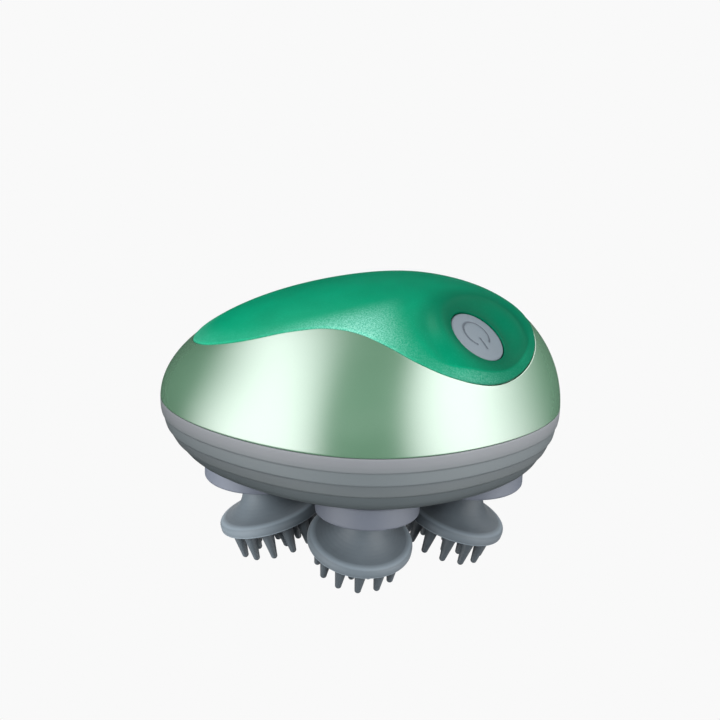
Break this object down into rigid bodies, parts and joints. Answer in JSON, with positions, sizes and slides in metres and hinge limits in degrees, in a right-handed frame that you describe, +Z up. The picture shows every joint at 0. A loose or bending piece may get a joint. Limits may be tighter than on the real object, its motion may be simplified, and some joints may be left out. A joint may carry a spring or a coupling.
{
  "type": "electric scalp massager",
  "caption": "Egg-shaped handheld scalp massager: a domed body with a power button stands on tilted rotating silicone massage heads covered in soft tines.",
  "frame": {"origin": "on the resting plane under the middle of the body's length and width", "axes": "+X along the body's long side towards the power button, +Y to the back, +Z up"},
  "size_m": [0.132, 0.103, 0.0976],
  "materials": {
    "mint_shell": "satin metallic mint lacquer",
    "green_inlay": "pearl green, soft gloss",
    "grey_button": "matte grey",
    "seal_rubber": "matte",
    "board_green": "satin",
    "black_plastic": "matte",
    "light_plastic": "matte",
    "hull_grey": "matte",
    "frame_plastic": "matte",
    "motor_steel": "satin",
    "shaft_steel": "polished",
    "gear_plastic": "satin",
    "bush_brass": "satin",
    "collar_grey": "matte",
    "core_plastic": "matte",
    "head_silicone": "matte silicone",
    "screw_steel": "satin",
    "cell_wrap": "shrink wrap",
    "red_lead": "matte",
    "black_lead": "matte",
    "white_lead": "matte"
  },
  "bodies": {
    "housing": {"upper_shell": "mint_shell", "top_inlay": "green_inlay", "button_seal": "seal_rubber", "switch_board": "board_green", "tact_switch": "black_plastic", "seam_gasket": "seal_rubber", "lower_hull": "hull_grey", "bearing_plate": "frame_plastic", "motor_can": "motor_steel", "motor_gearbox": "motor_steel", "pilot_bush": "bush_brass", "lower_bushes": "bush_brass", "upper_bushes": "bush_brass", "shaft_seals": "seal_rubber", "battery_cell": "cell_wrap", "battery_cradle": "frame_plastic", "main_board": "board_green", "board_plugs": "light_plastic", "charge_jack": "black_plastic", "case_screws": "screw_steel", "motor_screws": "screw_steel", "switch_screws": "screw_steel", "battery_leads": "red_lead", "motor_leads": "black_lead", "switch_leads": "white_lead", "jack_leads": "black_lead"},
    "button": {"power_button": "grey_button", "switch_stem": "light_plastic"},
    "drive": {"motor_shaft": "shaft_steel", "drive_gear": "gear_plastic"},
    "front_head": {"front_gear": "gear_plastic", "front_spindle": "shaft_steel", "front_collar": "collar_grey", "front_head_core": "core_plastic", "front_head_pad": "head_silicone", "front_head_screw": "screw_steel"},
    "rear_head": {"rear_gear": "gear_plastic", "rear_spindle": "shaft_steel", "rear_collar": "collar_grey", "rear_head_core": "core_plastic", "rear_head_pad": "head_silicone", "rear_head_screw": "screw_steel"},
    "left_head": {"left_gear": "gear_plastic", "left_spindle": "shaft_steel", "left_collar": "collar_grey", "left_head_core": "core_plastic", "left_head_pad": "head_silicone", "left_head_screw": "screw_steel"},
    "right_head": {"right_gear": "gear_plastic", "right_spindle": "shaft_steel", "right_collar": "collar_grey", "right_head_core": "core_plastic", "right_head_pad": "head_silicone", "right_head_screw": "screw_steel"}
  },
  "joints": [
    {"name": "button_press", "type": "slide", "parent": "housing", "child": "button", "axis": [0.5047, -0.2844, 0.8151], "range_m": [-0.0008, 0], "stiffness_N_per_m": 900},
    {"name": "front_head_spin", "type": "hinge", "parent": "housing", "child": "front_head", "pos_m": [0.00275, -0.02699, 0.03], "axis": [0, 0, 1], "continuous": true},
    {"name": "rear_head_spin", "type": "hinge", "parent": "housing", "child": "rear_head", "pos_m": [0.002, 0.027, 0.03], "axis": [0, 0, 1], "continuous": true},
    {"name": "left_head_spin", "type": "hinge", "parent": "housing", "child": "left_head", "pos_m": [-0.034, 0, 0.03], "axis": [0, 0, 1], "continuous": true},
    {"name": "right_head_spin", "type": "hinge", "parent": "housing", "child": "right_head", "pos_m": [0.038, 0, 0.03], "axis": [0, 0, 1], "continuous": true},
    {"name": "drive_spin", "type": "hinge", "parent": "housing", "child": "drive", "pos_m": [0.002, 0, 0.045], "axis": [0, 0, 1], "continuous": true}
  ],
  "couplings": [
    {"joint": "rear_head_spin", "follows": "front_head_spin", "ratio": 1},
    {"joint": "left_head_spin", "follows": "front_head_spin", "ratio": 1},
    {"joint": "right_head_spin", "follows": "front_head_spin", "ratio": 1},
    {"joint": "drive_spin", "follows": "front_head_spin", "ratio": -1.25}
  ]
}
